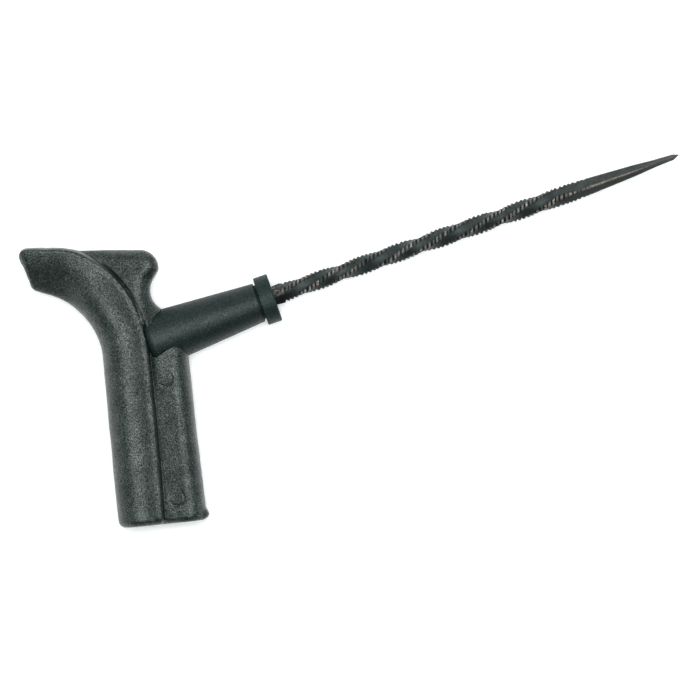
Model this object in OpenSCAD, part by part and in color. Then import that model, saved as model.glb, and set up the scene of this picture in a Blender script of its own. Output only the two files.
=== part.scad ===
// Tyre repair hand tool: a pistol grip moulding, a tapered barrel with a nose
// collar, and a twisted, toothed four-sided steel probe with a drawn-out point.
//
// Frame: the origin is the middle of the collar's front face. +X runs along the
// probe to its tip, the grip hangs towards -Y, and Z is across the tool, which
// is the same on both sides of z = 0. Drawn lying on its side, in millimetres.

/* [Grip] */
// rake of the grip away from square to the probe, degrees
grip_rake = 13.1; // [0:0.1:30]
// length of the straight part of the grip
grip_len = 60.5; // [40:0.1:90]
// radius of the concave back edge where the spine bends
bend_r = 26; // [15:0.5:40]
// centre of that bend, along the probe
bend_x = -89; // [-110:0.5:-70]
// centre of that bend, above the probe axis
bend_y = 6; // [-5:0.5:20]

/* [Spine] */
// width of the spine tube, back edge to groove
spine_w = 16.4; // [10:0.1:25]
// half of the spine tube's thickness
spine_h = 10; // [6:0.1:15]
// half of the thickness on the flat land beside the groove
land_h = 7.7; // [5:0.1:10]
// half of the thickness left at the bottom of the groove
groove_h = 5.2; // [2:0.1:7]
// where the tail is cut off square to the probe
tail_x = -79.4; // [-95:0.1:-65]

/* [Front lobe] */
// width of the grip from the back edge to the finger side
grip_w = 30.2; // [25:0.1:40]
// half of the front lobe's thickness
lobe_h = 8.4; // [5:0.1:12]

/* [Web and horn] */
// half of the web's thickness
web_h = 8.1; // [5:0.1:10]
// slope of the top edge down to the horn, degrees
top_slope = 20.8; // [5:0.1:40]
// radius of the horn
horn_r = 6.36; // [4:0.01:9]
// centre of the horn
horn_at = [-41.1, 24.9];
// radius of the finger saddle under the horn
saddle_r = 7.35; // [5:0.01:10]
// centre of the finger saddle
saddle_at = [-33.4, 14.05];
// bevel round the web's edges
web_bevel = 2.6; // [0.5:0.1:4]

/* [Barrel] */
// radius at the nose end of the taper
nose_r = 7.0; // [5:0.05:9]
// growth of the radius for each millimetre back from the nose
barrel_taper = 0.0745; // [0:0.001:0.2]
// back end of the visible taper
barrel_back = -46.4; // [-60:0.1:-30]
// front end of the taper, behind the collar
barrel_front = -5.6; // [-10:0.1:-4]
// rounding where the taper turns in beside the spine
barrel_round = 2; // [0.5:0.1:4]
// radius of the root that is held inside the spine
root_r = 6.3; // [5:0.1:8]
// back end of the root
root_back = -57; // [-62:0.5:-50]

/* [Collar] */
// radius of the collar
collar_r = 8.6; // [7:0.1:11]
// length of the collar
collar_len = 5.1; // [3:0.1:8]
// radius of the hole the probe leaves by
collar_bore = 3.6; // [3.3:0.05:4.5]
// edge break on the collar
collar_edge = 0.35; // [0:0.05:1]
// radius of the spigot that carries the collar
spigot_r = 5.2; // [4.2:0.1:6]

/* [Probe] */
// radius of the round shank
shank_r = 3.3; // [2.5:0.05:4]
// broad and narrow sides of the bar
bar = [5.4, 4.8];
// radius over the tooth tips
tooth_r = 3.25; // [2.8:0.05:4]
// depth of the notches between teeth
notch = 0.47; // [0.2:0.01:1]
// distance from tooth to tooth
tooth_pitch = 1.63; // [1:0.01:3]
// length of bar to one full turn of its left-hand twist
twist_pitch = 58.6; // [30:0.1:120]
// where the twist stops and the four flats of the point begin
twist_end = 105; // [80:1:120]
// where the flats give way to the short end bevel
bevel_at = 148; // [130:0.1:149]
// the tip of the probe
tip_x = 150; // [120:0.1:180]

/* [Hidden] */
$fn = 64;
eps = 0.01;

spigot_len = 3.6;              // spigot inside the collar
neck_r = 6.1;                  // reduced neck that shows as a gap behind the collar
shank_back = root_back - 3;    // back of the shank's head
head_r = 5;                    // shank head that stops the probe pulling out
back_off = 0.27;               // back edge of the grip from the bend's tangent line
flat_rate = 0.0159;            // how fast the four flats close, for each millimetre
tooth_from = 1.2;              // first tooth, just clear of the collar

function ell(c, a, b, from, to, n) =
    [for (i = [0:n]) let (q = from + (to - from) * i / n) [c + a * cos(q), b * sin(q)]];
function both_sides(p) =
    concat(p, [for (i = [len(p) - 1:-1:0]) if (p[i][1] > eps) [p[i][0], -p[i][1]]]);

// ---------------------------------------------------------------- handle

// cross-section of the spine: a dome, then a narrow land that drops into the groove
module spine_section() {
    polygon(both_sides(concat(
        ell(8, 8, spine_h, 180, 90, 9),
        ell(8, 8.4, spine_h, 82, 54, 3),
        [[spine_w - 2, land_h], [spine_w - 1.4, land_h - 0.4],
         [spine_w, groove_h], [spine_w, 0]])));
}

// cross-section of the front lobe: a shoulder by the groove, then a rounded front
module lobe_section() {
    f = grip_w - back_off;
    polygon(both_sides(concat(
        [[spine_w - 1.5, 0], [spine_w - 1.5, groove_h - 0.4], [spine_w + 0.1, groove_h - 0.4],
         [spine_w + 1.2, lobe_h - 1.9], [spine_w + 2.6, lobe_h - 1.6],
         [f - 7.3, lobe_h - 0.35]],
        ell(f - 6, 6, lobe_h, 90, 0, 9))));
}

// axes of the grip: x is the distance from the bend's centre, -y is down the grip
module in_grip() {
    translate([bend_x, bend_y, 0]) rotate([0, 0, -grip_rake]) children();
}

module spine() {
    in_grip() {
        rotate_extrude(angle = 118) translate([bend_r, 0]) spine_section();
        rotate([90, 0, 0]) linear_extrude(grip_len)
            translate([bend_r, 0]) spine_section();
    }
}

// everything below the top edge and in front of the square end of the tail
module tail_trim() {
    linear_extrude(60, center = true) difference() {
        polygon([[tail_x, -70], [0, -70], [0, 20], top_line(-60), top_line(-65.2) + [0, 0.6],
                 top_line(-76.5) + [0, 0.2], [-78.9, 43.6], [tail_x, 41.7]]);
        polygon([[tail_x - 1, 32.2], [tail_x, 31.9], [-77.2, 29.3], [-77.2, 20], [-81, 20]]);
    }
}
function top_line(x) = [x, 15.9 - x * tan(top_slope)];

module lobe() {
    in_grip() translate([0, 3, 0]) rotate([90, 0, 0]) linear_extrude(grip_len + 3)
        translate([bend_r, 0]) lobe_section();
}

// bevels round the bottom of the grip, where the moulding is rounded off
module foot_bevels() {
    in_grip() translate([bend_r, -grip_len, 0]) {
        for (m = [0, 1]) mirror([0, 0, m]) {
            translate([-2, 0, spine_h]) rotate([45, 0, 0])
                translate([0, -1.2, -1.2]) cube([spine_w + 2, 2.4, 2.4]);
            translate([spine_w - 0.01, 0, lobe_h]) rotate([45, 0, 0]) translate([0, -1.4, -1.4])
                cube([20, 2.8, 2.8]);
        }
        rotate([0, 0, 45]) cube([2.6, 2.6, 40], center = true);
        translate([grip_w - back_off, 0, 0]) rotate([0, 0, 45])
            cube([2, 2, 40], center = true);
    }
}

// horn: a disc with its rims bevelled
module horn() {
    b = web_bevel;
    h = web_h + 0.06;
    translate(horn_at) rotate_extrude()
        polygon([[0, -h], [horn_r - b, -h], [horn_r + 0.03, b - h],
                 [horn_r + 0.03, h - b], [horn_r - b, h], [0, h]]);
}

// bar along the sloping top edge, from inside the spine to the horn
module top_bar() {
    b = web_bevel;
    translate(horn_at) rotate([0, 0, -top_slope]) rotate([0, -90, 0])
        linear_extrude(30) polygon([[-web_h, -6], [web_h, -6], [web_h, horn_r - b],
            [web_h - b, horn_r], [b - web_h, horn_r], [-web_h, horn_r - b]]);
}

// flat body of the web between the spine, the horn and the barrel
module web_slab() {
    linear_extrude(2 * web_h - 0.1, center = true)
        polygon([[-60, 30], [-48, 26], [-41.1, 25.7], [-36, 22], [-35, 6],
                 [-40, 1], [-50, 0], [-56, 12]]);
}

// the finger saddle flares towards both faces of the web
module saddle_cut() {
    b = web_bevel;
    translate(saddle_at) rotate_extrude()
        polygon([[0, -12], [saddle_r + b + 4, -12], [saddle_r + b + 4, -web_h - 4],
                 [saddle_r, b - web_h], [saddle_r, web_h - b],
                 [saddle_r + b + 4, web_h + 4], [saddle_r + b + 4, 12], [0, 12]]);
}

// V-shaped groove between the spine and the web
module bend_groove() {
    in_grip() for (m = [0, 1]) mirror([0, 0, m])
        rotate_extrude(angle = 75) translate([bend_r + spine_w, 0])
            polygon([[-0.02, groove_h], [1.4, 7], [1.8, 9], [-0.02, 9]]);
}

module handle() {
    color("#3c4442") difference() {
        union() {
            intersection() {
                spine();
                tail_trim();
            }
            lobe();
            difference() {
                union() {
                    horn();
                    top_bar();
                    web_slab();
                }
                saddle_cut();
                bend_groove();
            }
        }
        foot_bevels();
        barrel_space();
        translate([shank_back, 0, 0]) rotate([0, 90, 0])
            cylinder(r = head_r, h = root_back - shank_back + eps);
    }
}

// ---------------------------------------------------------------- barrel

function barrel_r(x) = nose_r + barrel_taper * (barrel_front - x);

// half-profile of the barrel: [radius, distance along the probe axis]
function barrel_profile() = concat(
    [[0, root_back], [root_r - 0.6, root_back], [root_r, root_back + 0.6], [root_r, barrel_back]],
    [for (q = [0:15:90]) [
        barrel_r(barrel_back + barrel_round) - barrel_round * (1 - sin(q)),
        barrel_back + barrel_round * (1 - cos(q))]],
    [[nose_r, barrel_front], [nose_r - 0.3, barrel_front + 0.3]]);

// the room the handle leaves for the barrel
module barrel_space() {
    rotate([0, 90, 0]) rotate_extrude()
        polygon(concat(barrel_profile(), [[0, barrel_front + 0.3]]));
}

module barrel() {
    f = barrel_front + 0.3;
    color("#2f3735") rotate([0, 90, 0]) difference() {
        rotate_extrude() polygon(concat(barrel_profile(),
            [[neck_r, f], [neck_r, -collar_len], [spigot_r, -collar_len],
             [spigot_r, spigot_len - collar_len], [0, spigot_len - collar_len]]));
        translate([0, 0, root_back - 1]) cylinder(r = shank_r, h = 70);
    }
}

// ---------------------------------------------------------------- collar

module collar() {
    e = collar_edge;
    m = spigot_len - collar_len;
    color("#343c3a") rotate([0, 90, 0]) rotate_extrude()
        polygon([[spigot_r, -collar_len], [collar_r - e, -collar_len],
                 [collar_r, e - collar_len], [collar_r, -e], [collar_r - e, 0],
                 [collar_bore + e, 0], [collar_bore, -e], [collar_bore, m], [spigot_r, m]]);
}

// ---------------------------------------------------------------- probe

// size of the bar at x, as a share of full size: the four flats close to the tip
function share(x) = x < twist_end + 0.7 ? 1
    : x <= bevel_at ? 1 - flat_rate * (x - twist_end - 0.7)
    : (1 - flat_rate * (bevel_at - twist_end - 0.7)) * max(0.12, (tip_x - x) / (tip_x - bevel_at));
// turn of the bar's broad side from the Y axis
function turn(x) = -360 * (min(x, twist_end) - 98.35) / twist_pitch;
// one corner of the section: where a circle of radius r crosses the two flats
function corner(a, b, r) = [acos(a / r), (acos(a / r) + asin(b / r)) / 2, asin(b / r)];
function ring(x, r) =
    let (a = share(x) * bar[0] / 2, b = share(x) * bar[1] / 2,
         s = min(r, 0.985 * norm([a, b])), c = corner(a, b, s), t = turn(x))
    [for (q = [c[0], c[1], c[2], 180 - c[2], 180 - c[1], 180 - c[0],
               180 + c[0], 180 + c[1], 180 + c[2], 360 - c[2], 360 - c[1], 360 - c[0]])
        [x, s * cos(q + t), s * sin(q + t)]];

half = tooth_pitch / 2;
// sections of the toothed length, tip and notch in turn, then of the plain point
stations = concat(
    [[-2, tooth_r - 0.15]],
    [for (i = [0:floor((118 - tooth_from) / half)])
        [tooth_from + i * half, i % 2 == 0 ? tooth_r : tooth_r - notch]],
    [for (x = [119.5, 128, 138, bevel_at, tip_x - 0.02]) [x, tooth_r]]);

module toothed_bar() {
    n = len(stations);
    rings = [for (s = stations) ring(s[0], s[1])];
    polyhedron(points = [for (r = rings) each r],
        faces = concat(
            [[for (i = [0:11]) i]],
            [for (k = [0:n - 2], i = [0:11])
                let (j = (i + 1) % 12, p = 12 * k, q = 12 * (k + 1)) each
                [[p + i, q + i, q + j], [p + i, q + j, p + j]]],
            [[for (i = [11:-1:0]) 12 * (n - 1) + i]]), convexity = 10);
}

module rasp_probe() {
    color("#23282b") union() {
        toothed_bar();
        translate([root_back - 0.5, 0, 0]) rotate([0, 90, 0])
            cylinder(r = shank_r, h = -1.5 - root_back + 0.5);
        translate([shank_back, 0, 0]) rotate([0, 90, 0])
            cylinder(r = head_r, h = root_back - shank_back);
    }
}

handle();
barrel();
collar();
rasp_probe();
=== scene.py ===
import bpy, math
import numpy as np
import openvdb
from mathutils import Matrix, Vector


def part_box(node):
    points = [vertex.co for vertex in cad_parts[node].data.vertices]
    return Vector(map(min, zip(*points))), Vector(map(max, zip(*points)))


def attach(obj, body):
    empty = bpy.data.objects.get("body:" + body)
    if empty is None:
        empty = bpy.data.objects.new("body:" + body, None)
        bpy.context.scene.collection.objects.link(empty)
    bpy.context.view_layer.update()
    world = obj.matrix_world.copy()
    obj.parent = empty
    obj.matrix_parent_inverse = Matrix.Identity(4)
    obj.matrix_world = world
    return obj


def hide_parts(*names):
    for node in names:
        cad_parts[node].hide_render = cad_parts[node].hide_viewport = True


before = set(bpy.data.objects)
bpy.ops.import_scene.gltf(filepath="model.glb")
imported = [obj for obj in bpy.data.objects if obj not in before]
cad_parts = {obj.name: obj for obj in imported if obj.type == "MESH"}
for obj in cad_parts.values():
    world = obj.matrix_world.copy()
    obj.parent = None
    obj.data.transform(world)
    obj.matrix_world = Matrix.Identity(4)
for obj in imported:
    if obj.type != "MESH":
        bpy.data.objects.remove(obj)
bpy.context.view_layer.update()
SCENE = bpy.context.scene
MM = 0.001

# ------------------------------------------------------------------ helpers, lengths in millimetres


def add_mesh(name, points, faces, material, smooth=True):
    """A mesh object from points in millimetres and faces given as rows of point numbers."""
    mesh = bpy.data.meshes.new(name)
    corners = [tuple(int(i) for i in face) for face in faces]
    mesh.from_pydata([tuple(p) for p in np.asarray(points, float) * MM], [], corners)
    mesh.validate()
    mesh.update()
    if smooth:
        mesh.polygons.foreach_set("use_smooth", [True] * len(mesh.polygons))
    ob = bpy.data.objects.new(name, mesh)
    SCENE.collection.objects.link(ob)
    mesh.materials.append(material)
    return ob


def add_point_value(ob, name, values):
    """Stores one number for each point of a mesh, which its material reads by name."""
    attribute = ob.data.attributes.new(name, "FLOAT", "POINT")
    attribute.data.foreach_set("value", values.reshape(-1).astype(np.float32))


def smoothstep(start, end, x):
    """0 up to start and 1 from end, with a smooth change between; start may be the larger."""
    t = np.clip((x - start) / (end - start), 0, 1)
    return t * t * (3 - 2 * t)


def along(table, x):
    """Straight-line interpolation in a table of (place, value) pairs."""
    places, values = zip(*table)
    return np.interp(x, places, values)


def intersect(a, b, radius):
    """Intersection of two distances, with its edge rounded. Good near the surface only."""
    u, v = np.maximum(a + radius, 0), np.maximum(b + radius, 0)
    return np.minimum(np.maximum(a, b), -radius) + np.sqrt(u * u + v * v)


def unite(a, b, radius):
    """Union of two distances, with a fillet. Good near the surface only."""
    return -intersect(-a, -b, radius)


def outline_distance(outline, X, Y):
    """Signed distance from (X, Y) to a closed outline, negative inside."""
    nearest = np.full(X.shape, 1e9)
    inside = np.zeros(X.shape, bool)
    for i, (x0, y0) in enumerate(outline):
        x1, y1 = outline[(i + 1) % len(outline)]
        ex, ey = x1 - x0, y1 - y0
        length2 = ex * ex + ey * ey
        if length2 < 1e-12:
            continue
        t = np.clip(((X - x0) * ex + (Y - y0) * ey) / length2, 0, 1)
        nearest = np.minimum(nearest, (X - x0 - t * ex) ** 2 + (Y - y0 - t * ey) ** 2)
        if abs(ey) > 1e-9:
            inside ^= ((Y < y0) != (Y < y1)) & (X < x0 + (Y - y0) * ex / ey)
    nearest = np.sqrt(nearest)
    return np.where(inside, -nearest, nearest)


def arc(cx, cy, a, b, first, last, count):
    """Points on an ellipse with half axes a and b, from angle first to last in degrees."""
    angles = np.radians(np.linspace(first, last, count))
    return [(cx + a * math.cos(q), cy + b * math.sin(q)) for q in angles]


def bulge(cx, a, b, power, count):
    """A quarter of a superellipse, from its top at (cx, b) down to (cx + a, 0)."""
    out = []
    for q in np.linspace(math.pi / 2, 0, count):
        out.append((cx + a * max(math.cos(q), 0) ** (2 / power), b * max(math.sin(q), 0) ** (2 / power)))
    return out


def value_noise(shape, cell, rng):
    """Smooth random field on a grid, about -1 to 1, with features of about cell samples."""
    out = rng.uniform(-1, 1, [int(size / cell) + 3 for size in shape]).astype(np.float32)
    for axis, size in enumerate(shape):
        place = np.arange(size) / cell
        i = place.astype(int)
        f = place - i
        f = f * f * (3 - 2 * f)
        f = f.reshape([-1 if k == axis else 1 for k in range(len(shape))]).astype(np.float32)
        out = np.take(out, i, axis=axis) * (1 - f) + np.take(out, i + 1, axis=axis) * f
    return out

# ------------------------------------------------------------------ barrel and collar sizes

BARREL_BACK = -46.85      # where the barrel's shoulder stands clear of the spine
BARREL_FRONT = -5.75
COLLAR_BACK = -5.1
SPIGOT_END = -1.6
SPIGOT_R = 5.2
COLLAR_R = 8.6
COLLAR_Y = -0.12          # height of the collar's middle
COLLAR_BORE_R = 3.95
ROOT_BACK = -57           # back end of the barrel's root, inside the spine
ROOT_R = 6.3
NECK_R = 6.2              # behind the collar
SHANK_BACK, SHANK_FRONT = -60, -2.6
SHANK_R = 3.28
SHANK_BORE_R = 3.35
SHANK_HEAD_R = 5.0
CONE_X = -7               # where the cone's middle and radius are given
CONE_Y, CONE_TILT = -0.14, 0.0115
CONE_R, CONE_FLARE = 7.08, 0.0745


def barrel_axis_y(x):
    """Height of the barrel's middle, which is tilted a little against the probe."""
    return CONE_Y + CONE_TILT * (x - CONE_X)


def barrel_radius(x):
    """Radius of the barrel's cone, which widens towards the spine."""
    return CONE_R + CONE_FLARE * (CONE_X - x)

# ------------------------------------------------------------------ handle

RAKE = math.radians(13.1)
ACROSS = (math.cos(RAKE), -math.sin(RAKE))     # across the grip, towards the fingers
DOWN = (-math.sin(RAKE), -math.cos(RAKE))      # down the grip
BEND = (-89.0, 6.0)                            # centre of the spine's bend
BEND_R = 26.0                                  # from there to the nominal back edge
GRIP_END = 60.7                                # from the bend's centre down to the foot
TAIL_X = -79.2                                 # where the beavertail is cut off square
TOE = (29.05, 58.75)                           # across and down the grip, at the foot's front corner
TOE_R, TOE_HALF_H = 2.3, 3.2
PIN_MARKS = [(-45.3, -14.6, 2.55), (-55.1, -55.2, 2.65)]     # x, y and radius of the ejector-pin rings
PIT = (-55.9, -16.3)
GATE = (-49.4, -63.2)                          # torn gate mark at the foot

# Edges of the spine as distances across from the nominal back edge. The place is in millimetres down the
# straight grip or, up the bend, minus the degrees.
BACK_EDGE = [(-90, 0.4), (-78, -0.3), (-72, -0.75), (-62, -0.8), (-50, -0.55), (-30, -0.3), (-10, 0.1),
             (0, 0.2), (12, 0.05), (20, -0.1), (28, -0.2), (45, -0.43), (57, -0.4), (61, -0.2)]
GROOVE_EDGE = [(-110, 13.6), (-84, 14.4), (-75, 14.9), (-68, 16.1), (-61, 17.1), (-50, 17.2), (-28, 17.05),
               (-12, 16.95), (0, 16.9), (8, 16.75), (25, 16.65), (45, 16.35), (61, 15.85)]
# The grip's finger side and the middle of the groove, by millimetres down the grip.
FINGER_EDGE = [(0, 30.0), (30, 30.02), (45, 30.3), (57, 30.5)]
GROOVE_MIDDLE = [(-60, 17.0), (-20, 17.1), (0, 16.95), (8, 16.85), (25, 16.7), (45, 16.4), (61, 15.9)]

# Cross-sections as (distance across, half thickness). The spine has a round back, a land that falls to a
# small bead, and a wall down to the groove. Its sections are drawn SPINE_W wide and stretched to its edges.
SPINE_W = 16.4
SPINE_CROWN = arc(8, 0, 8, 10, 180, 90, 24)
SPINE_GRIP = SPINE_CROWN + [
    (9, 9.93), (10, 9.78), (11, 9.53), (12, 9.2), (13, 8.82), (13.7, 8.56), (14.3, 8.41), (14.8, 8.34),
    (15.4, 8.24), (15.82, 8.0), (16.14, 7.5), (16.38, 6.9), (16.56, 6.3), (16.7, 5.6), (16.8, 4.6),
    (16.8, 0)]
SPINE_BEND = SPINE_CROWN + [
    (9, 9.93), (10, 9.74), (11, 9.44), (12, 9.06), (13, 8.60), (14, 8.12), (14.6, 7.88), (15.1, 7.95),
    (15.65, 8.16), (16.05, 7.98), (16.35, 7.1), (16.5, 5.6), (16.6, 0)]
SPINE_TAIL = [
    (0, 0), (0.5, 1.2), (1.6, 2.2), (3.4, 3.35), (5.5, 4.74), (7.4, 5.84), (9.2, 6.74), (10.8, 7.43),
    (12.2, 7.9), (13.4, 8.24), (14.4, 8.5), (15.1, 8.6), (15.6, 8.36), (16.0, 7.6), (16.3, 6.1), (16.45, 4),
    (16.5, 0)]
# The front lobe rises from the groove to a ridge and rounds over to the finger side.
LOBE_FROM, LOBE_TO = 16.6, 30.25
LOBE_RIDGE, LOBE_REACH, LOBE_POWER = 24.5, 5.75, 2.5
LOBE_GRIP = [
    (12, 0), (12, 4.9), (16.3, 5.5), (16.7, 5.9), (17.0, 6.25), (17.35, 6.42), (17.9, 6.57), (18.8, 6.82),
    (20.0, 7.16), (21.6, 7.61), (23.0, 8.01), (23.7, 8.23)]
LOBE_GRIP += bulge(LOBE_RIDGE, LOBE_REACH, 8.4, LOBE_POWER, 26)
LOBE_ROOT = [
    (12, 0), (12, 4.9), (16.3, 5.6), (16.65, 6.3), (17.0, 7.2), (17.7, 8.0), (18.6, 8.35), (20.0, 8.5),
    (22.0, 8.6), (23.6, 8.6)]
LOBE_ROOT += bulge(LOBE_RIDGE, LOBE_REACH, 8.6, LOBE_POWER, 26)


class Section:
    """Signed distance to a cross-section that is the same above and below, looked up in a fine grid.
    It is worked out in the band near the section only; elsewhere it is just a large distance."""

    STEP = 0.1
    ACROSS_RANGE = (-30, 60)
    NEAR_RANGE = (-6, 38)
    TOP = 12.5
    FAR = 20.0

    def __init__(self, upper_half):
        outline = upper_half + [(u, -h) for u, h in reversed(upper_half) if h > 1e-6]
        self.u = np.arange(*self.ACROSS_RANGE, self.STEP)
        self.z = np.arange(0, self.TOP, self.STEP)
        U, Z = np.meshgrid(self.u, self.z, indexing="ij")
        near = (U > self.NEAR_RANGE[0]) & (U < self.NEAR_RANGE[1])
        self.grid = np.full(U.shape, self.FAR)
        self.grid[near] = outline_distance(outline, U[near], Z[near])

    def distance(self, u, z):
        """Distance at each u of an array, at one height z."""
        fu = np.clip((u - self.u[0]) / self.STEP, 0, len(self.u) - 2)
        iu = fu.astype(int)
        fu = fu - iu
        iz = int(min(z / self.STEP, len(self.z) - 2))
        fz = z / self.STEP - iz
        row = self.grid[:, iz] * (1 - fz) + self.grid[:, iz + 1] * fz
        return row[iu] * (1 - fu) + row[iu + 1] * fu


def grip_place(x, y):
    """A point's distance across from the nominal back edge, millimetres down the grip (negative above the
    straight part) and degrees up the bend."""
    px, py = x - BEND[0], y - BEND[1]
    ahead = px * ACROSS[0] + py * ACROSS[1]
    down = px * DOWN[0] + py * DOWN[1]
    across = np.where(down > 0, ahead, np.hypot(px, py)) - BEND_R
    turn = np.degrees(np.arctan2(-down, ahead))
    return across, down, np.where(turn < -90, turn + 360, turn)


def web_outline():
    """Outline of the web above the barrel, with the rounded horn and the saddle for the forefinger."""
    horn = arc(-41.1, 24.9, 6.36, 6.36, 69.2, -27, 30)
    saddle = arc(-33.4, 14.05, 7.35, 7.35, 131, 222, 26)
    return [(-62, 38.75)] + horn + saddle + [(-38.0, 7.4), (-36.5, 3), (-46, -4.0), (-56, 0), (-58, 24)]


def web_height(X, Y, beside_spine):
    """Half thickness of the web: a tilted plane, highest beside the barrel, that levels out at the top."""
    least = 2.6
    over_least = 8.7 + 0.20 * (X + 47) - 0.17 * (Y - 5) - least
    height = least + 0.5 * (over_least + np.sqrt(over_least ** 2 + 1.0))
    dip_at_barrel = 2.8 * smoothstep(-46.5, -40, X) * smoothstep(14, 7, Y)
    crease = 1.3 * smoothstep(1.0, 0.0, beside_spine) * smoothstep(33, 26, Y)
    shallow = 1 - 0.75 * smoothstep(20, 13, Y) * smoothstep(4, 8, Y)
    return height - dip_at_barrel - crease * shallow


def barrel_room(X, Y, z):
    """Distance to the space that the barrel takes up in the handle, negative inside it."""
    cone = (np.hypot(Y - barrel_axis_y(X), z) - barrel_radius(X)) * 0.997
    cone = intersect(cone, BARREL_BACK - 0.05 - X, 1.8)
    return intersect(cone, X + 5.0, 0.1)


def handle_field(vox):
    """Distance to the handle on a grid round its upper half, with the grid's three axes."""
    xs = np.arange(-82, -31, vox)
    ys = np.arange(-67.5, 47, vox)
    zs = np.arange(0.5 * vox, 11.6, vox)
    X, Y = np.meshgrid(xs, ys, indexing="ij")
    across, down, turn = grip_place(X, Y)
    straight = down > 0
    place = np.where(straight, down, -turn)
    back, groove = along(BACK_EDGE, place), along(GROOVE_EDGE, place)
    spine_u = (across - back) / (groove - back) * SPINE_W
    stretch = (groove - back) / SPINE_W
    lobe_u = LOBE_FROM + (across - groove) * (LOBE_TO - LOBE_FROM) / (along(FINGER_EDGE, down) - groove)
    # how far each place has gone over from one section to the next
    up_bend = np.where(straight, -1, turn)
    bend_share = smoothstep(14, 38, up_bend)
    tail_share = smoothstep(32, 67, up_bend)
    root_share = np.clip((13.5 - down) / 12.5, 0, 1)
    web_edge = outline_distance(web_outline(), X, Y)
    web_top = web_height(X, Y, (across - groove) * stretch)
    web_round = 4.0 + 2.2 * smoothstep(27, 20, Y)
    tail_end = TAIL_X - 0.6 * np.exp(-((Y - 41.2) / 2.6) ** 2) - X
    tail_round = 1.2 + 1.9 * smoothstep(36, 41, Y)
    grip, bend, tail, lobe_grip, lobe_root = [
        Section(half) for half in (SPINE_GRIP, SPINE_BEND, SPINE_TAIL, LOBE_GRIP, LOBE_ROOT)]
    field = np.empty((len(xs), len(ys), len(zs)), np.float32)
    for i, z in enumerate(zs):
        spine = grip.distance(spine_u, z) * (1 - bend_share) + bend.distance(spine_u, z) * bend_share
        spine = (spine * (1 - tail_share) + tail.distance(spine_u, z) * tail_share) * stretch
        spine = intersect(spine, tail_end, tail_round)
        spine = intersect(spine, down - GRIP_END + 0.15, 2.4)
        lobe = lobe_grip.distance(lobe_u, z) * (1 - root_share) + lobe_root.distance(lobe_u, z) * root_share
        lobe = intersect(lobe, -down - 3.0, 0.5)
        beyond_toe = max(z - TOE_HALF_H, 0)
        toe = np.sqrt((across - TOE[0]) ** 2 + (down - TOE[1]) ** 2 + beyond_toe ** 2) - TOE_R
        lobe = intersect(unite(lobe, toe, 0.8), down - GRIP_END, 2.3)
        web = intersect(web_edge, z - web_top, web_round)
        solid = unite(unite(spine, lobe, 0.25), web, 0.3)
        field[:, :, i] = intersect(solid, 0.06 - barrel_room(X, Y, z), 0.28)
    return xs, ys, zs, field


def add_moulding_marks(field, X, Y, zs, vox):
    """Ejector-pin rings, a pit and a torn gate on the seen face, the parting line and slight waviness."""
    seen = zs > 0
    for cx, cy, radius in PIN_MARKS:
        q = np.hypot(X - cx, Y - cy)
        deeper_below = 0.2 + 0.8 * smoothstep(-0.3, 0.8, (0.25 * (X - cx) - (Y - cy)) / radius)
        ring = 0.34 * np.exp(-((q - radius) / 0.28) ** 2) * deeper_below
        field[:, :, seen] += (ring + 0.05 * smoothstep(radius, radius - 0.5, q))[:, :, None]
    pit = 0.5 * np.exp(-(np.hypot(X - PIT[0], Y - PIT[1]) / 0.4) ** 2)
    field[:, :, seen] += pit[:, :, None]
    rng = np.random.default_rng(5)
    tear = value_noise(X.shape, 0.5 / vox, rng) * 0.28 + 0.22
    gate = tear * np.exp(-(np.hypot(X - GATE[0], Y - GATE[1]) / 1.35) ** 2)
    field[:, :, seen] += gate[:, :, None]
    seam = 0.10 * np.exp(-(zs / 0.28) ** 2)
    unbroken = smoothstep(-0.5, 0.1, value_noise(X.shape, 6 / vox, rng))
    field -= seam[None, None, :] * unbroken[:, :, None]
    field += value_noise(field.shape, 7 / vox, rng) * 0.07 + value_noise(field.shape, 2.2 / vox, rng) * 0.03


def build_handle(material):
    """The one-piece handle moulding, meshed from its distance field."""
    vox = 0.27
    xs, ys, upper_zs, upper = handle_field(vox)
    field = np.concatenate([upper[:, :, ::-1], upper], axis=2)
    zs = np.concatenate([-upper_zs[::-1], upper_zs])
    X, Y = np.meshgrid(xs, ys, indexing="ij")
    add_moulding_marks(field, X, Y, zs, vox)
    grid = openvdb.FloatGrid(8.0)
    grid.copyFromArray(np.ascontiguousarray(field, dtype=np.float32))
    points, quads = grid.convertToQuads(0.0)
    points = np.array(points, float) * vox + np.array([xs[0], ys[0], zs[0]])
    ob = add_mesh("handle_moulding", points, quads[:, ::-1], material)
    # how deep each point lies in the groove, where the material paints shade because little light is thrown
    # back
    across, down, _ = grip_place(points[:, 0], points[:, 1])
    in_groove = smoothstep(1.1, 0.4, np.abs(across - along(GROOVE_MIDDLE, down)))
    low = smoothstep(7.2, 6.3, np.abs(points[:, 2]))
    add_point_value(ob, "groove_shade", 0.2 * low * in_groove * smoothstep(12, 6, points[:, 1]))
    return ob

# ------------------------------------------------------------------ turned pieces


def lathe(name, profile, material, segments, axis_y):
    """Turns a closed profile of (x, radius) about an axis along the tool, at the height axis_y(x)."""
    points = []
    for x, r in profile:
        points += [(x, axis_y(x) + r * math.cos(q), r * math.sin(q))
                   for q in np.linspace(0, 2 * math.pi, segments, endpoint=False)]
    faces = []
    for i in range(len(profile)):
        j = (i + 1) % len(profile)
        for k in range(segments):
            m = (k + 1) % segments
            faces.append((i * segments + k, j * segments + k, j * segments + m, i * segments + m))
    return add_mesh(name, points, faces, material)


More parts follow.
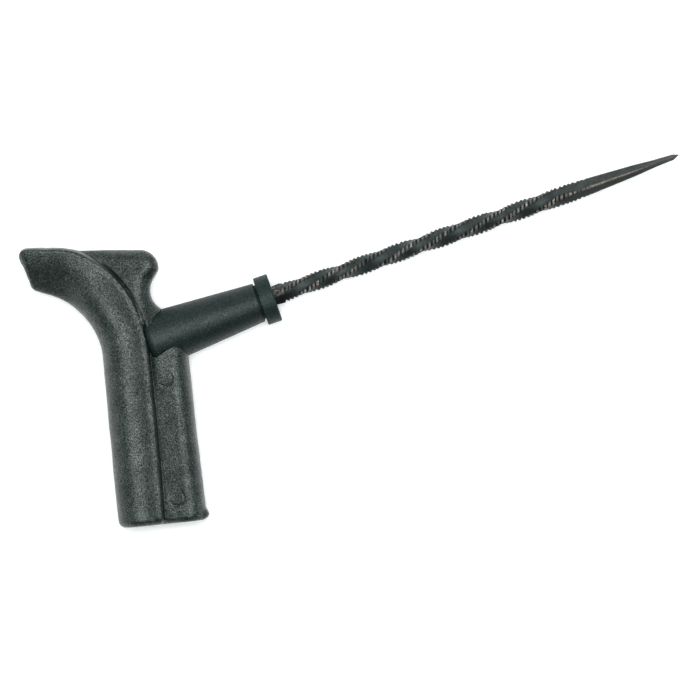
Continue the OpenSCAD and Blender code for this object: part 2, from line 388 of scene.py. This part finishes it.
def round_corner(a, b, c, radius, count):
    """Points that round the corner b of a profile."""
    a, b, c = (np.array(p, float) for p in (a, b, c))
    u, v = (a - b) / np.linalg.norm(a - b), (c - b) / np.linalg.norm(c - b)
    angle = math.acos(float(np.clip(u @ v, -1, 1)))
    first, last = b + u * radius / math.tan(angle / 2), b + v * radius / math.tan(angle / 2)
    centre = b + (u + v) / np.linalg.norm(u + v) * radius / math.sin(angle / 2)
    out = []
    for f in np.linspace(0, 1, count):
        p = first * (1 - f) + last * f - centre
        out.append(tuple(centre + p / np.linalg.norm(p) * radius))
    return out


def rounded(profile, count):
    """A closed profile of (x, radius, rounding) with each corner rounded."""
    corners = [(x, r) for x, r, _ in profile]
    out = []
    for i, (x, r, rounding) in enumerate(profile):
        if rounding > 0:
            after = corners[(i + 1) % len(corners)]
            out += round_corner(corners[i - 1], corners[i], after, rounding, count)
        else:
            out.append((x, r))
    return out


def dense(profile, step):
    """Adds points so that no stretch of a closed profile is much longer than step."""
    out = []
    for i in range(len(profile)):
        a, b = np.array(profile[i], float), np.array(profile[(i + 1) % len(profile)], float)
        parts = max(1, int(np.linalg.norm(b - a) / step))
        out += [tuple(a + (b - a) * f / parts) for f in range(parts)]
    return out


def build_barrel(material):
    """The tapered sleeve: its root in the spine, the cone, and a neck and spigot under the collar."""
    profile = [(ROOT_BACK, SHANK_BORE_R, 0), (ROOT_BACK, ROOT_R, 0.4), (BARREL_BACK, ROOT_R, 0),
               (BARREL_BACK, barrel_radius(BARREL_BACK), 2.0),
               (BARREL_FRONT, barrel_radius(BARREL_FRONT), 0.35),
               (BARREL_FRONT, NECK_R, 0.15), (COLLAR_BACK, NECK_R, 0), (COLLAR_BACK, SPIGOT_R, 0),
               (SPIGOT_END, SPIGOT_R, 0.2), (SPIGOT_END, SHANK_BORE_R, 0)]
    return lathe("barrel_sleeve", dense(rounded(profile, 9), 1.5), material, 192, barrel_axis_y)


def build_collar(material):
    """The crisp-edged ring at the nose, stepped inside for the spigot."""
    socket = SPIGOT_R + 0.05
    profile = [(COLLAR_BACK, socket, 0), (COLLAR_BACK, COLLAR_R, 0.28), (0, COLLAR_R, 0.3),
               (0, COLLAR_BORE_R, 0.35), (SPIGOT_END, COLLAR_BORE_R, 0), (SPIGOT_END, socket, 0)]
    return lathe("nose_collar", dense(rounded(profile, 7), 0.8), material, 192, lambda x: COLLAR_Y)


def build_shank(material):
    """The round shank inside the barrel, with its flat head behind the barrel's root."""
    head_front, middle = ROOT_BACK - 0.05, 0.01
    profile = [(SHANK_BACK, middle, 0), (SHANK_BACK, SHANK_HEAD_R, 0.3), (head_front, SHANK_HEAD_R, 0),
               (head_front, SHANK_R, 0), (SHANK_FRONT, SHANK_R, 0.1), (SHANK_FRONT, middle, 0)]
    return lathe("bar_shank", rounded(profile, 4), material, 64, lambda x: 0)

# ------------------------------------------------------------------ toothed probe

PITCH = 1.63                        # from tooth to tooth
TWIST = 58.6                        # length of one left-handed turn
TWIST_END = 105.0
TWIST_ZERO = 98.35                  # where the bar's half width lies along y
TAPER_START = 105.7                 # from here on the bar loses a share TAPER of its size per millimetre
TAPER = 0.0159
BAR_HALF_W, BAR_HALF_H = 2.7, 2.4   # middle of the bar to its flats
BAR_Y = 0.36                        # height of the bar's middle
TOOTH_R = 3.37
TEETH_START, TEETH_END = 3.0, 118
PLAIN_START, PLAIN_END = 112, 149   # where the rubbed edges are plain ones
NOSE_START, NOSE_END = 131, 143     # where the four corners run out
BEVEL_X, TIP_X = 147.7, 150.25
TEETH_COUNT = 90                    # more than there are along one edge


def bar_directions():
    """Angles round the bar, close together over each corner, and the angles of the four corners."""
    corner = math.degrees(math.atan2(BAR_HALF_H, BAR_HALF_W))
    corners = [corner, 180 - corner, 180 + corner, 360 - corner]
    beside = np.array([3.7, 7.5, 11, 15, 19, 24, 30])
    offsets = np.concatenate([-beside[::-1], [0], beside])
    angles = [(c + o) % 360 for c in corners for o in offsets] + [0, 90, 180, 270]
    return np.radians(np.array(sorted(set(np.round(angles, 4))))), np.radians(corners)


def build_probe(material):
    """The bar from the collar to its point: four flats, twisted, with teeth on the four corners."""
    step = 0.09
    toothed, plain = np.arange(-3.0, 121.0, step), np.arange(121.0, 147.6, 0.5)
    x = np.concatenate([toothed, plain, np.linspace(BEVEL_X, TIP_X, 12)])
    angles, corners = bar_directions()
    X, A = np.meshgrid(x, angles, indexing="ij")
    taper = np.clip(1 - TAPER * (x - TAPER_START), 0, 1)[:, None]
    half_w, half_h = BAR_HALF_W * taper, BAR_HALF_H * taper
    corner_r = np.hypot(half_w, half_h)
    to_side = half_w / np.maximum(np.abs(np.cos(A)), 1e-6)
    flat = np.minimum(to_side, half_h / np.maximum(np.abs(np.sin(A)), 1e-6))
    # the nearest corner, and the angle from it
    from_corners = np.stack([((A - c + math.pi) % (2 * math.pi)) - math.pi for c in corners], 0)
    which = np.argmin(np.abs(from_corners), 0)
    off = np.take_along_axis(from_corners, which[None], 0)[0]
    # saw-like teeth, each a little different: a slow rise, a sharp crest leaning to the tip, a rounded notch
    rng = np.random.default_rng(11)
    jitter = rng.uniform(-0.13, 0.13, (4, TEETH_COUNT))
    depth = rng.uniform(0.7, 1.2, (4, TEETH_COUNT))
    shine = rng.uniform(0.1, 1.0, (4, TEETH_COUNT))
    lean = 0.30 * 3.2            # millimetres along the bar for each radian round it
    shift_per_corner = 0.27      # share of a pitch
    count = (X + lean * off) / PITCH + which * shift_per_corner
    number = np.clip(np.floor(count).astype(int), 0, TEETH_COUNT - 1)
    phase = (count + jitter[which, number]) % 1.0
    tooth = smoothstep(0.06, 0.5, phase) * (1 - smoothstep(0.68, 0.92, phase))
    started = smoothstep(TEETH_START, TEETH_START + 0.5, X)
    notch = 0.62 * depth[which, number] * (1 - tooth)
    r = np.minimum(flat, TOOTH_R + 0.3 * (1 - started) - notch * started)
    # towards the tip the corners run out into a rounder nose
    nose = smoothstep(NOSE_START, NOSE_END, X)
    r = r * (1 - nose) + np.minimum(r, corner_r * (0.86 - 0.04 * nose)) * nose
    r = np.minimum(r, corner_r * 0.985)
    # the point's bevel, skewed to the upper side
    turned = A + np.radians(-360 * (np.minimum(x, TWIST_END) - TWIST_ZERO) / TWIST)[:, None]
    bevel = np.clip((x - BEVEL_X) / (TIP_X - BEVEL_X), 0, 1)[:, None]
    y = r * np.cos(turned) * (1 - bevel ** 1.15) + 0.12 * bevel + BAR_Y
    z = r * np.sin(turned) * (1 - bevel ** 1.15)
    rows, round_count = X.shape
    i = np.arange(rows - 1)[:, None] * round_count
    k = np.arange(round_count)[None, :]
    k2 = (k + 1) % round_count
    quads = np.stack([i + k2, i + round_count + k2, i + round_count + k, i + k], -1).reshape(-1, 4)
    back_end = tuple(range(round_count))
    front_end = tuple((rows - 1) * round_count + j for j in reversed(range(round_count)))
    faces = [tuple(q) for q in quads] + [back_end, front_end]
    ob = add_mesh("rasp_bar", np.stack([X, y, z], -1).reshape(-1, 3), faces, material)
    # how bright each point is: crests and edges rubbed bare, and a painted highlight that makes them
    # brightest on the upper side, towards the lamps
    crest_wear_and_highlight = smoothstep(0.84, 0.95, r / TOOTH_R) * (X < TEETH_END) * started
    crest_wear_and_highlight += smoothstep(0.84, 0.95, r / corner_r) * (X >= PLAIN_START) * (X < PLAIN_END)
    rubbed = smoothstep(0.5, 0.24, np.abs(off)) * np.where(X < 115, shine[which, number], 0.7)
    highlight_upper_side = 0.3 + 0.7 * smoothstep(-0.1, 0.6, np.sin(turned))
    add_point_value(ob, "crest_wear_and_highlight", np.clip(crest_wear_and_highlight, 0, 1) * rubbed * highlight_upper_side)
    # how far each point is down in a notch, where the material paints shade
    cut = np.clip(1 - tooth, 0, 1) * smoothstep(0.46, 0.26, np.abs(off)) * started * smoothstep(112, 108, X)
    add_point_value(ob, "cut", cut)
    return ob

# ------------------------------------------------------------------ materials


class Nodes:
    """Short names for one material's nodes. Texture space is the tool's own frame, in millimetres."""

    def __init__(self, name):
        self.material = bpy.data.materials.new(name)
        self.material.use_nodes = True
        self.tree = self.material.node_tree
        self.shader = self.tree.nodes["Principled BSDF"]
        coordinates = self.tree.nodes.new("ShaderNodeTexCoord")
        self.mm = self.mapped(coordinates.outputs["Object"], (1 / MM, 1 / MM, 1 / MM))

    def link(self, a, b):
        self.tree.links.new(a, b)

    def mapped(self, vector, scale):
        node = self.tree.nodes.new("ShaderNodeMapping")
        node.inputs["Scale"].default_value = scale
        self.link(vector, node.inputs["Vector"])
        return node.outputs["Vector"]

    def axis(self, name):
        """One coordinate of the tool's frame, in millimetres."""
        node = self.tree.nodes.new("ShaderNodeSeparateXYZ")
        self.link(self.mm, node.inputs[0])
        return node.outputs[name]

    def noise(self, scale, detail=3, rough=0.55, distortion=0.0, stretch=None):
        """Fractal noise, with its scale in features per millimetre."""
        node = self.tree.nodes.new("ShaderNodeTexNoise")
        node.inputs["Scale"].default_value = scale
        node.inputs["Detail"].default_value = detail
        node.inputs["Roughness"].default_value = rough
        node.inputs["Distortion"].default_value = distortion
        self.link(self.mapped(self.mm, stretch) if stretch else self.mm, node.inputs["Vector"])
        return node.outputs["Fac"]

    def cells(self, scale):
        node = self.tree.nodes.new("ShaderNodeTexVoronoi")
        node.inputs["Scale"].default_value = scale
        self.link(self.mm, node.inputs["Vector"])
        return node.outputs["Distance"]

    def ramp(self, factor, *stops):
        """A colour ramp; each stop is (place, number or colour)."""
        node = self.tree.nodes.new("ShaderNodeValToRGB")
        elements = node.color_ramp.elements
        while len(elements) < len(stops):
            elements.new(0.5)
        for element, (place, value) in zip(elements, stops):
            element.position = place
            element.color = (value, value, value, 1) if isinstance(value, (int, float)) else (*value, 1)
        self.link(factor, node.inputs["Fac"])
        return node.outputs["Color"]

    def rising(self, factor, start, end):
        """0 up to start and 1 from end."""
        return self.ramp(factor, (start, 0.0), (end, 1.0))

    def falling(self, factor, start, end):
        """1 up to start and 0 from end."""
        return self.ramp(factor, (start, 1.0), (end, 0.0))

    def math(self, operation, *values, clamp=False):
        node = self.tree.nodes.new("ShaderNodeMath")
        node.operation = operation
        node.use_clamp = clamp
        for socket, value in zip(node.inputs, values):
            if isinstance(value, (int, float)):
                socket.default_value = value
            else:
                self.link(value, socket)
        return node.outputs[0]

    def add(self, a, b):
        return self.math("ADD", a, b)

    def times(self, a, b):
        return self.math("MULTIPLY", a, b)

    def mix(self, factor, a, b):
        """From a to b; each is a colour, or a node's output."""
        node = self.tree.nodes.new("ShaderNodeMix")
        node.data_type = "RGBA"
        for socket, value in ((node.inputs[0], factor), (node.inputs[6], a), (node.inputs[7], b)):
            if isinstance(value, tuple):
                socket.default_value = (*value, 1)
            else:
                self.link(value, socket)
        return node.outputs[2]

    def point_value(self, name):
        node = self.tree.nodes.new("ShaderNodeAttribute")
        node.attribute_name = name
        return node.outputs["Fac"]

    def bump(self, height, distance, strength=1.0):
        """A bumped normal; distance is in millimetres."""
        node = self.tree.nodes.new("ShaderNodeBump")
        node.inputs["Distance"].default_value = distance * MM
        node.inputs["Strength"].default_value = strength
        self.link(height, node.inputs["Height"])
        return node.outputs["Normal"]

    def finish(self, color, rough, normal, specular, metallic=0.0, tint=(1, 1, 1)):
        """Joins the shader's sockets. Specular and metallic may each be a number or a node's output."""
        sockets = self.shader.inputs
        self.link(color, sockets["Base Color"])
        self.link(rough, sockets["Roughness"])
        self.link(normal, sockets["Normal"])
        for name, value in (("Metallic", metallic), ("Specular IOR Level", specular)):
            if isinstance(value, (int, float)):
                sockets[name].default_value = value
            else:
                self.link(value, sockets[name])
        sockets["IOR"].default_value = 1.5
        sockets["Specular Tint"].default_value = (*tint, 1)
        return self.material


def grey(value):
    return (value, value, value)


def handle_material():
    """Glass-filled nylon: near-black green with warm light flecks, a coarse skin and an uneven sheen."""
    n = Nodes("handle_nylon")
    grain = n.noise(2.1, 4, 0.6, 0.2)
    fibre = n.noise(1.0, 3, 0.6, 0.6, stretch=(0.55, 2.6, 1.6))
    blotch = n.rising(n.noise(0.16, 3, 0.55), 0.32, 0.7)
    base = n.mix(blotch, (0.0012, 0.0080, 0.0068), (0.0045, 0.0132, 0.0118))
    base = n.mix(n.falling(grain, 0.30, 0.46), base, (0.002, 0.0075, 0.0066))
    flecks = n.rising(n.times(n.rising(grain, 0.5, 0.68), n.rising(fibre, 0.42, 0.62)), 0.1, 0.9)
    base = n.mix(flecks, base, (0.135, 0.110, 0.082))
    rough = n.ramp(n.noise(1.4, 3, 0.6), (0.3, 0.31), (0.7, 0.45))
    sparkle = n.ramp(n.noise(2.3, 3, 0.65), (0.38, 0.10), (0.62, 1.0))
    shine = n.times(sparkle, n.ramp(n.noise(0.14, 3, 0.6), (0.36, 0.68), (0.62, 1.08)))
    # painted shade in the groove: a darker colour and almost no sheen
    groove_shade = n.point_value("groove_shade")
    shine = n.mix(groove_shade, shine, grey(0.06))
    base = n.mix(groove_shade, base, (0.003, 0.0055, 0.005))
    height = n.add(grain, n.times(n.noise(5.5, 2, 0.5), 0.35))
    height = n.add(height, n.times(n.cells(2.7), -0.35))
    return n.finish(base, rough, n.bump(height, 0.14), shine, tint=(0.93, 1.0, 0.97))


def barrel_material():
    """The barrel's finer and duller skin."""
    n = Nodes("barrel_plastic")
    grain = n.noise(2.7, 3, 0.55)
    blotch = n.rising(n.noise(0.22, 3, 0.5), 0.3, 0.72)
    base = n.mix(blotch, (0.0008, 0.0066, 0.0060), (0.0028, 0.0100, 0.0092))
    base = n.mix(n.rising(grain, 0.56, 0.76), base, (0.05, 0.058, 0.055))
    rough = n.ramp(n.noise(0.9, 3, 0.6), (0.3, 0.42), (0.7, 0.56))
    shine = n.ramp(n.noise(2.6, 3, 0.6), (0.34, 0.14), (0.66, 0.48))
    normal = n.bump(n.add(grain, n.times(n.noise(0.35, 2), 1.2)), 0.10)
    return n.finish(base, rough, normal, shine, tint=(0.92, 1.0, 1.0))


def collar_material():
    """The collar's plain matt skin."""
    n = Nodes("collar_plastic")
    grain = n.noise(3.0, 3, 0.55)
    blotch = n.rising(n.noise(0.3, 3, 0.5), 0.3, 0.7)
    base = n.mix(blotch, (0.0012, 0.0078, 0.0068), (0.0042, 0.0120, 0.0108))
    base = n.mix(n.rising(grain, 0.6, 0.8), base, (0.04, 0.046, 0.044))
    rough = n.ramp(n.noise(1.1, 3, 0.6), (0.3, 0.46), (0.7, 0.60))
    shine = n.ramp(n.noise(2.6, 3, 0.6), (0.34, 0.14), (0.66, 0.48))
    return n.finish(base, rough, n.bump(grain, 0.10), shine, tint=(0.84, 1.0, 0.97))


def steel_material():
    """Blackened steel: brown scale at the collar, a greyer point, painted shade in the notches, on the lower
    half and under the collar, and crests lightened by wear and by a painted highlight.
    """
    n = Nodes("probe_steel")
    x_mm, y_mm = n.axis("X"), n.axis("Y")
    cut = n.point_value("cut")
    grain = n.noise(2.6, 4, 0.6)
    streak = n.noise(1.2, 4, 0.6, 0.3, stretch=(0.35, 2.2, 2.2))
    patch = n.noise(0.35, 4, 0.65)
    near_collar = n.ramp(n.math("DIVIDE", x_mm, 9.0), (0.0, 1.0), (0.3, 0.9), (0.8, 0.0))
    along_bar = n.math("DIVIDE", x_mm, 150.0)
    # the lower half of the bar, which the material darkens with painted shade
    shaded_lower_side = n.falling(n.add(n.times(y_mm, 0.25), 0.5), 0.36, 0.58)
    # painted shadow under the collar, on the bar's lower side near it
    collar_shadow = n.times(near_collar, shaded_lower_side)
    base = n.mix(n.rising(patch, 0.35, 0.68), (0.0045, 0.008, 0.0082), (0.013, 0.0205, 0.0225))
    base = n.mix(n.rising(streak, 0.52, 0.74), base, (0.030, 0.031, 0.028))
    rubbed_point = n.ramp(n.noise(0.8, 4, 0.65), (0.4, 0.3), (0.65, 1.0))
    base = n.mix(n.times(n.rising(along_bar, 0.68, 0.76), rubbed_point), base, (0.030, 0.031, 0.026))
    bare_tip = n.times(n.rising(along_bar, 0.9, 0.985), n.ramp(grain, (0.4, 0.4), (0.6, 1.0)))
    base = n.mix(bare_tip, base, (0.075, 0.072, 0.062))
    # painted shade on the lower half of the bar
    base = n.mix(n.times(shaded_lower_side, 0.5), base, (0.003, 0.005, 0.0048))
    # near black: the painted shadow under the collar
    base = n.mix(collar_shadow, base, (0.002, 0.003, 0.003))
    scale_spots = n.times(n.rising(n.noise(1.5, 4, 0.65), 0.48, 0.62), near_collar)
    base = n.mix(n.times(scale_spots, n.math("SUBTRACT", 1.0, shaded_lower_side)), base, (0.16, 0.125, 0.10))
    # painted shade in the notches
    base = n.mix(n.times(cut, 0.5), base, (0.0015, 0.0025, 0.0024))
    wear = n.times(n.rising(n.noise(1.6, 4, 0.7), 0.38, 0.54),
                   n.ramp(n.noise(0.22, 2, 0.5), (0.36, 0.55), (0.6, 1.0)))
    # crests lightened by wear and by a painted highlight, most of all on the upper side
    worn_and_highlight = n.math("MULTIPLY", n.point_value("crest_wear_and_highlight"), wear, clamp=True)
    base = n.mix(worn_and_highlight, base, (0.40, 0.345, 0.30))
    rough = n.mix(worn_and_highlight, n.ramp(grain, (0.3, 0.46), (0.7, 0.62)), grey(0.5))
    metallic = n.ramp(worn_and_highlight, (0.0, 0.0), (1.0, 0.5))
    # less sheen where shade is painted: in the notches, on the lower half and under the collar
    shine = n.mix(cut, n.ramp(patch, (0.3, 0.30), (0.7, 0.48)), grey(0.14))
    shine = n.mix(n.times(shaded_lower_side, 0.5), shine, grey(0.12))
    shine = n.mix(collar_shadow, shine, grey(0.03))
    normal = n.bump(n.add(grain, n.times(streak, 0.7)), 0.09)
    return n.finish(base, rough, normal, shine, metallic, tint=(0.88, 1.0, 0.97))


def floor_material():
    """A white sheet that glows a little, so that it stays white up to the tool's outline."""
    n = Nodes("floor_white")
    base = n.ramp(n.noise(0.02, 2), (0.3, (0.90, 0.905, 0.91)), (0.7, (0.915, 0.918, 0.92)))
    rough = n.ramp(n.noise(0.05, 2), (0.3, 0.85), (0.7, 0.95))
    n.shader.inputs["Emission Color"].default_value = (0.97, 0.985, 1.0, 1)
    n.shader.inputs["Emission Strength"].default_value = 0.27
    return n.finish(base, rough, n.bump(n.noise(0.5, 2), 0.01, 0.2), 0.0)

# ------------------------------------------------------------------ put it together

HANDLE_NYLON = handle_material()
BARREL_PLASTIC = barrel_material()
COLLAR_PLASTIC = collar_material()
PROBE_STEEL = steel_material()
pieces = [
    (build_handle(HANDLE_NYLON), "handle", "handle_nylon"),
    (build_barrel(BARREL_PLASTIC), "barrel", "barrel_plastic"),
    (build_collar(COLLAR_PLASTIC), "collar", "collar_plastic"),
    (build_probe(PROBE_STEEL), "rasp_probe", "probe_steel"),
    (build_shank(PROBE_STEEL), "rasp_probe", "probe_steel"),
]
for ob, node, slot in pieces:
    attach(ob, "root")
    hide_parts(node)

FLOOR_GAP = 0.0002     # metres from the floor up to the spine's lowest point
FLOOR_HALF = 2500      # half the floor's side, in millimetres
floor_corners = [(-FLOOR_HALF, -FLOOR_HALF, 0), (FLOOR_HALF, -FLOOR_HALF, 0), (FLOOR_HALF, FLOOR_HALF, 0),
                 (-FLOOR_HALF, FLOOR_HALF, 0)]
floor = add_mesh("floor", floor_corners, [(0, 1, 2, 3)], floor_material(), smooth=False)
lowest_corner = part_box("handle")[0]
floor.location.z = lowest_corner.z - FLOOR_GAP

# ------------------------------------------------------------------ light and camera, in metres

# directions of the picture in the tool's frame: the tool lies turned by this angle in it
TURN = math.radians(19.16)
RIGHT = Vector((math.cos(TURN), -math.sin(TURN), 0))
UP = Vector((math.sin(TURN), math.cos(TURN), 0))
ABOVE = Vector((0, 0, 1))
MID = Vector((0.0189, -0.0263, 0))    # middle of the picture


def add_area_light(name, offset, size, power, color):
    """A rectangular light at an offset from the picture's middle, aimed at that middle."""
    light = bpy.data.lights.new(name, "AREA")
    light.shape = "RECTANGLE"
    light.size, light.size_y = size
    light.energy = power
    light.color = color
    ob = bpy.data.objects.new(name, light)
    SCENE.collection.objects.link(ob)
    ob.location = MID + offset
    ob.rotation_euler = (-offset).to_track_quat("-Z", "Y").to_euler()


add_area_light("key_overhead", UP * 0.05 - RIGHT * 0.06 + ABOVE * 0.9, (0.5, 0.5), 10.5, (0.97, 1.0, 0.99))
add_area_light("fill_top", UP * 0.95 + ABOVE * 0.40, (1.3, 0.6), 3.8, (0.9, 0.98, 1.0))
add_area_light("fill_left", -RIGHT * 0.95 + ABOVE * 0.35, (0.9, 0.5), 1.9, (0.93, 0.99, 1.0))
add_area_light("fill_right", RIGHT * 0.95 + ABOVE * 0.35, (0.9, 0.5), 2.1, (0.93, 0.99, 1.0))

# dim surroundings, which keep the plastic dark
world = SCENE.world or bpy.data.worlds.new("studio")
SCENE.world = world
world.use_nodes = True
background = world.node_tree.nodes["Background"]
background.inputs["Color"].default_value = (0.93, 0.965, 1.0, 1)
background.inputs["Strength"].default_value = 0.05

# a long lens square above the tool, because the photograph has almost no perspective
VIEW_WIDTH = 0.245
LENS, SENSOR = 300, 36
camera = bpy.data.cameras.new("camera")
camera.lens = LENS
camera.sensor_width = SENSOR
camera.clip_end = 10
camera_ob = bpy.data.objects.new("camera", camera)
SCENE.collection.objects.link(camera_ob)
camera_ob.location = MID + ABOVE * (VIEW_WIDTH * LENS / SENSOR)
camera_ob.rotation_euler = (0, 0, -TURN)
SCENE.camera = camera_ob
SCENE.view_settings.view_transform = "Standard"
SCENE.view_settings.look = "None"
SCENE.view_settings.exposure = 0.0
